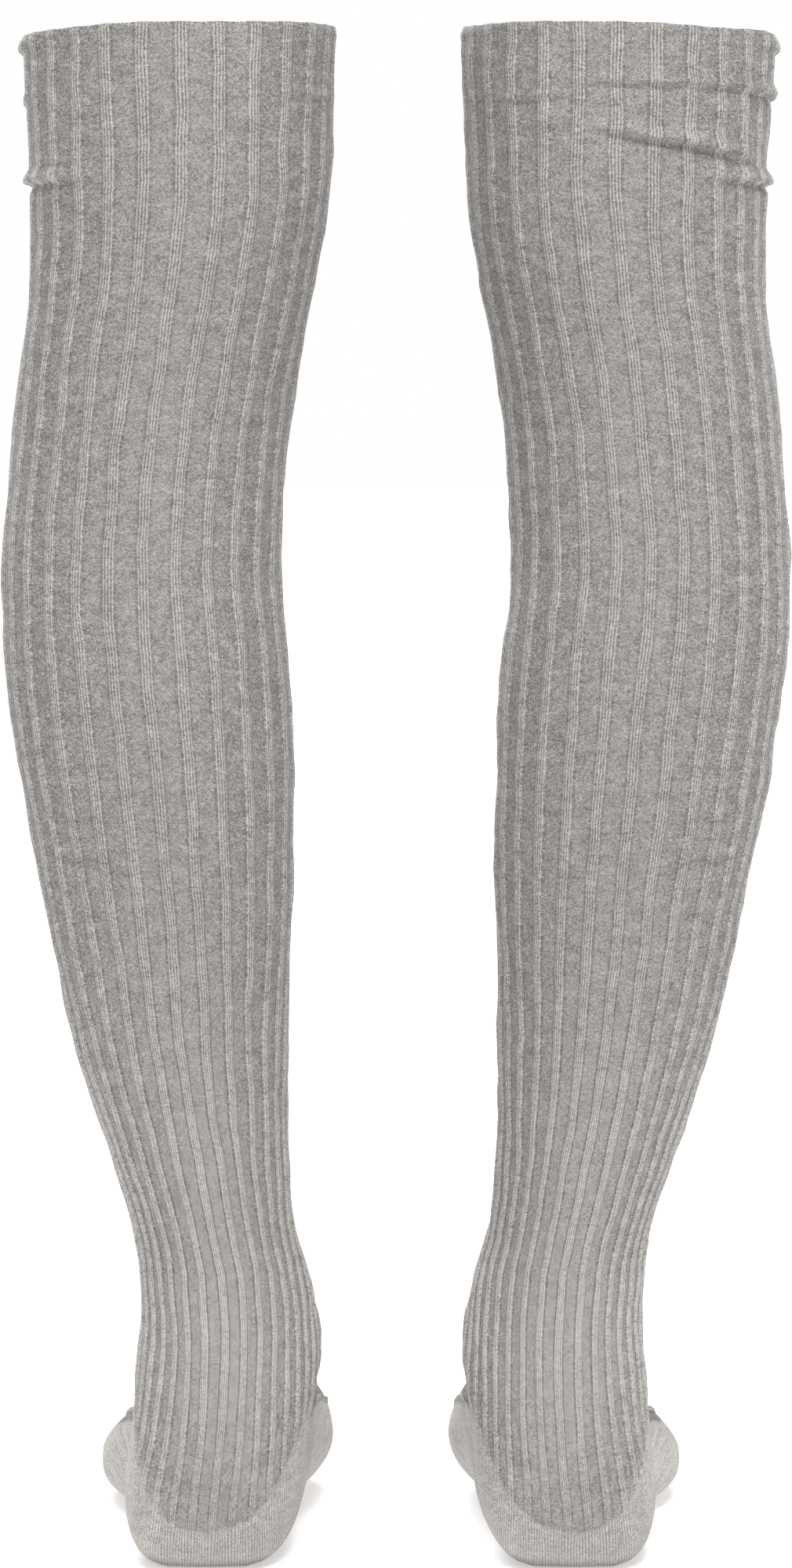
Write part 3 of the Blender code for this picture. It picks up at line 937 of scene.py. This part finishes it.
def grey(level: float, warmth: float = 1.0) -> tuple[float, float, float, float]:
    """A nearly neutral colour. Warmth is red over green, and green over blue."""
    return (level * warmth, level, level / warmth, 1.0)


@dataclass(frozen=True)
class HeatherKnit:
    """A light grey melange yarn, knitted in ribs on the leg and plain on the heel and sole."""

    light: float = 0.41
    dark: float = 0.09
    warmth: float = 1.052
    plain_light: float = 0.51
    plain_dark: float = 0.20
    plain_warmth: float = 1.055
    course: float = 0.00072  # height of one row of stitches
    wale_wobble: float = 0.16  # how wavy the wales are, in wales
    course_wobble: float = 0.5  # and the courses, in courses
    fray: float = 0.005  # how ragged the edge of the ribbed knit is
    fade: float = 0.0014  # half the width over which it ends
    lean: float = 1.3  # how steep the legs of a stitch are
    rib_end: tuple[float, float] = (0.94, 1.08)  # where a rib ends, in wales from its middle
    groove_at: float = 1.18  # and where the groove beside it is deepest
    groove_wall: tuple[float, float] = (0.04, 0.34)
    # painted light and shade at the tube's sides: there the panels lose this many wales to the lighter
    # ribs
    painted_side_crowding: float = 0.30  # wales that a panel loses at the sides
    # painted light: the ribbed knit is painted lighter towards the heel, as floor light would make it
    worn_light: float = 0.10  # how much lighter the ribbed knit gets near the heel
    painted_light_along: tuple[float, float] = (0.46, 0.55)  # from the hem
    heel_along: tuple[float, float] = (0.62, 0.68)  # where the heel's stitches fade out
    speck: float = 0.16  # strengths in the heather
    streak: float = 0.45
    blotch: float = 0.50
    grain: float = 1.10
    # painted shade: the heather is painted stronger at the tube's sides
    painted_side_contrast: float = 0.90  # how much stronger it is at the sides
    relief: float = 0.00022  # depth of the stitches
    roughness: float = 0.93
    sheen: float = 0.15
    sheen_roughness: float = 0.45
    specular: float = 0.25

    def material(self) -> bpy.types.Material:
        """Build the knit, with heather of specks, streaks along the courses, blotches and grain.

        Wales and courses are a little wavy. On a rib and on plain cloth each wale has two legs,
        light where the cosine of twice its phase is low, and each course nudges them into a V.
        On the purl panels the stitches' light heads lie in bricks, where the cosines of wale and
        course have the same sign, and close up where the knit is slack. At the tube's sides the ribs
        are painted lighter and wider, and the panels painted darker with stronger heather: painted
        light and shade of cloth seen edge on. Towards the heel the ribbed knit is painted lighter,
        as floor light would make it.
        """
        nodes = Shader("heather_knit")
        turn = 2 * math.pi
        u, along = nodes.uv("knit")
        _, plain_along = nodes.uv("plain")
        place = nodes.place()
        slack = nodes.attribute("slack")
        frayed = (nodes.noise(place, 320.0, 2.0) - 0.5) * self.fray
        ribbed = (nodes.attribute("ribbed") + frayed).eased(-self.fade, self.fade)
        wale = u + (nodes.noise(place, 480.0, 1.0) - 0.5) * self.wale_wobble
        rows = nodes.mixed(ribbed, plain_along, along) / self.course
        course = rows + (nodes.noise(place, 240.0, 1.0) - 0.5) * self.course_wobble

        legs = 0.5 - (wale * (2 * turn)).cos() * 0.5
        centre = 0.5 - (wale * turn).cos() * 0.5
        lean = (wale.part() - 0.5).size()
        chevron = 0.5 + ((course + lean * self.lean) * turn).cos() * 0.5
        stitches = chevron * 0.4 + 0.6

        in_pitch = ((u + (PITCH_WALES - RIB_WALES) / 2) / PITCH_WALES).part()
        # painted light and shade: this mask lightens the ribs, darkens and narrows the panels and
        # strengthens the heather at the tube's sides
        sideways = 0.5 - (u * (2 * turn / WALES)).cos() * 0.5  # 1 at the sides, 0 front and back
        from_rib = (in_pitch - 0.5).size() * PITCH_WALES - sideways * self.painted_side_crowding
        in_rib = 1.0 - from_rib.eased(*self.rib_end)
        dots = (course * turn).cos() * 0.5 + 0.5
        beside = 1.0 - (from_rib - self.groove_at).size().eased(*self.groove_wall)
        groove = beside * (0.22 + slack * 0.46) * dots
        heads = (wale * turn).cos() * (course * turn).cos() + slack * 0.10
        purl = heads.eased(-0.60, 0.80)
        # how light the ribs and the panels are, between the dark yarn and the light one; the sideways
        # terms are painted light on the ribs and painted shade on the panels at the tube's sides
        rib_light = legs * stitches * 0.62 + 0.14 + slack * slack * 0.18 + sideways * 0.11
        panel_light = purl * (slack * 0.20 + 0.40) + 0.17 - slack * 0.03 - groove - sideways * 0.13
        # the slack term is the knit's own tone where it is less stretched; the term along the sock is
        # painted light, lighter towards the heel
        slack_and_painted_light = slack * slack * 0.06 + plain_along.eased(*self.painted_light_along) * self.worn_light
        leg_light = nodes.mixed(in_rib, panel_light, rib_light) + slack_and_painted_light

        speck = nodes.speckle(nodes.vector((wale * 2.0).whole(), course.whole())) - 0.5
        streak = nodes.noise(nodes.vector(wale * 0.55, course * 0.62), 1.0, 2.0, 0.65) - 0.5
        blotch = nodes.noise(nodes.vector(u * 0.20, along * 190.0, slack), 1.0, 3.0, 0.6) - 0.5
        grain = nodes.noise(place, 1500.0, 1.0) - 0.5
        marks = speck * self.speck + streak * self.streak + blotch * self.blotch + grain * self.grain
        # the heather's extra strength at the sides is painted shade
        heather = marks * (1.0 + sideways * self.painted_side_contrast)

        leg = nodes.mix(leg_light + heather, grey(self.dark, self.warmth), grey(self.light, self.warmth))
        heel = 1.0 - plain_along.eased(*self.heel_along)  # further on, the plain cloth is even
        wales = nodes.mixed(heel, 0.60, (centre * 0.6 + legs * 0.2) * (chevron * 0.2 + 0.8) - 0.01)
        plain = wales + heather * 1.15
        sole = nodes.mix(
            plain, grey(self.plain_dark, self.plain_warmth), grey(self.plain_light, self.plain_warmth)
        )
        nodes.feed(nodes.surface.inputs["Base Color"], nodes.mix(ribbed, sole, leg))
        nodes.raised(nodes.mixed(ribbed, plain * 0.7, leg_light + streak), self.relief)
        nodes.set(Roughness=self.roughness, Metallic=0.0, Specular_IOR_Level=self.specular)
        nodes.set(Sheen_Weight=self.sheen, Sheen_Roughness=self.sheen_roughness)
        return nodes.material


@dataclass(frozen=True)
class PaleFloor:
    """A matt, nearly white studio floor."""

    tone: float = 0.92
    glow: float = 0.37  # lifts the floor to the photo's white without burning out the socks
    far_glow: float = 1.0  # and more so where the lights don't reach
    glow_from: float = 1.6  # metres from the middle
    glow_to: float = 3.4
    clouding: float = 0.01  # how much darker its faint clouds are
    roughness: float = 0.9
    specular: float = 0.1

    def material(self) -> bpy.types.Material:
        """Build the floor's finish, with the faintest unevenness and a glow that grows outwards."""
        nodes = Shader("pale_floor")
        place = nodes.place()
        cloud = nodes.noise(place, 1.4, 2.0)
        colour = nodes.mix(cloud, grey(self.tone), grey(self.tone - self.clouding))
        nodes.feed(nodes.surface.inputs["Base Color"], colour)
        outwards = nodes.length(place).eased(self.glow_from, self.glow_to)
        glow = nodes.mix(outwards, grey(self.glow), grey(self.far_glow))
        nodes.feed(nodes.surface.inputs["Emission Color"], glow)
        nodes.set(Roughness=self.roughness, Specular_IOR_Level=self.specular, Emission_Strength=1.0)
        return nodes.material


@dataclass(frozen=True)
class Surroundings:
    """Even, pale light from all round, brightest at the horizon."""

    horizon: float = 1.0
    overhead: float = 0.50
    fall_from: float = 0.10  # sine of the height where the brightness starts to fall
    fall_to: float = 0.30

    def world(self) -> bpy.types.World:
        """Build the surroundings, whose brightness goes by the height of each direction."""
        world = bpy.data.worlds.new("studio_light")
        world.use_nodes = True
        nodes = Nodes(world.node_tree)
        direction = nodes.add("ShaderNodeTexCoord", {}, []).outputs["Generated"]
        away = nodes.parts(direction)[2].size().eased(self.fall_from, self.fall_to)
        background = nodes.tree.nodes["Background"]
        nodes.feed(background.inputs["Color"], grey(1.0))
        nodes.feed(background.inputs["Strength"], nodes.mixed(away, self.horizon, self.overhead))
        return world


@dataclass(frozen=True)
class SoftBox:
    """A square area light that faces the middle of the socks."""

    AIM = (0.0, 0.0, -0.3)

    name: str
    place: tuple[float, float, float]
    size: float  # of a side
    power: float  # in watts

    def build(self) -> None:
        """Put the light into the scene."""
        light = bpy.data.lights.new(self.name, "AREA")
        light.size = self.size
        light.energy = self.power
        lamp = add_object(self.name, light)
        lamp.location = self.place
        lamp.rotation_euler = (Vector(self.AIM) - Vector(self.place)).to_track_quat("-Z", "Y").to_euler()


@dataclass(frozen=True)
class Studio:
    """The wide floor, the pale surroundings, the soft lights and the camera."""

    camera_place: tuple[float, float, float] = (0.0, 2.344, -0.1425)
    camera_pitch: float = 3.8  # degrees down from level
    lens: float = 135.0
    sensor: float = 36.0
    sight: float = 30.0  # how far it sees, in metres
    floor_level: float = -HEM_HEIGHT
    floor_rings: tuple[float, ...] = (0.4, 1.0, 2.0, 4.0, 8.0, 16.0, 40.0)
    floor_points: int = 96  # in each ring
    boxes: tuple[SoftBox, ...] = (
        SoftBox("key_light", (-0.25, 1.4, 1.9), 1.0, 74.0),  # high, behind the heels
        SoftBox("front_light", (0.6, -1.8, 1.3), 1.2, 60.0),
    )

    def floor(self) -> None:
        """A flat round floor, as rings of points about the Z axis, wide enough for every view."""
        reach = np.array(self.floor_rings)[:, None]
        turn = np.linspace(0.0, 2 * math.pi, self.floor_points + 1)[:-1]
        x, y = reach * np.cos(turn), reach * np.sin(turn)
        z = np.full(x.shape, self.floor_level)
        rings = np.stack((x, y, z), axis=2).reshape(-1, 3)
        points = np.concatenate((rings, [[0, 0, self.floor_level]]))
        ids = np.arange(x.size).reshape(x.shape)
        quads = strip_faces(ids[:-1], ids[1:])[:, ::-1]
        middle = np.stack((ids[0], np.roll(ids[0], -1), np.full(len(turn), x.size)), axis=1)
        mesh = bpy.data.meshes.new("studio_floor")
        mesh.from_pydata(points, [], quads.tolist() + middle.tolist())
        mesh.shade_smooth()
        mesh.materials.append(PaleFloor().material())
        add_object("studio_floor", mesh)

    def lights(self) -> None:
        """Set up the surroundings and the soft boxes, shown without a film's tone curve."""
        bpy.context.scene.world = Surroundings().world()
        bpy.context.scene.view_settings.view_transform = "Standard"
        for box in self.boxes:
            box.build()

    def camera(self) -> None:
        """The photograph's view, from behind the heels and a little above their middle."""
        data = bpy.data.cameras.new("camera")
        data.lens = self.lens
        data.sensor_width = self.sensor
        data.clip_end = self.sight
        camera = add_object("camera", data)
        camera.location = self.camera_place
        camera.rotation_euler = (math.radians(90.0 - self.camera_pitch), 0.0, math.pi)
        bpy.context.scene.camera = camera


def main() -> None:
    """Build the studio and both socks."""
    logging.basicConfig(level=logging.INFO, format="%(name)s: %(message)s")
    studio = Studio()
    studio.camera()
    studio.lights()
    studio.floor()
    LOG.info("studio: floor, lights and camera")
    knit = HeatherKnit().material()
    for side, seed in ((Side.LEFT, 11), (Side.RIGHT, 47)):
        piece = Sock(side, FOLDS[side], seed).build(knit)
        LOG.info("%s: %d faces", piece.name, len(piece.data.polygons))


if __name__ == "__main__":
    main()
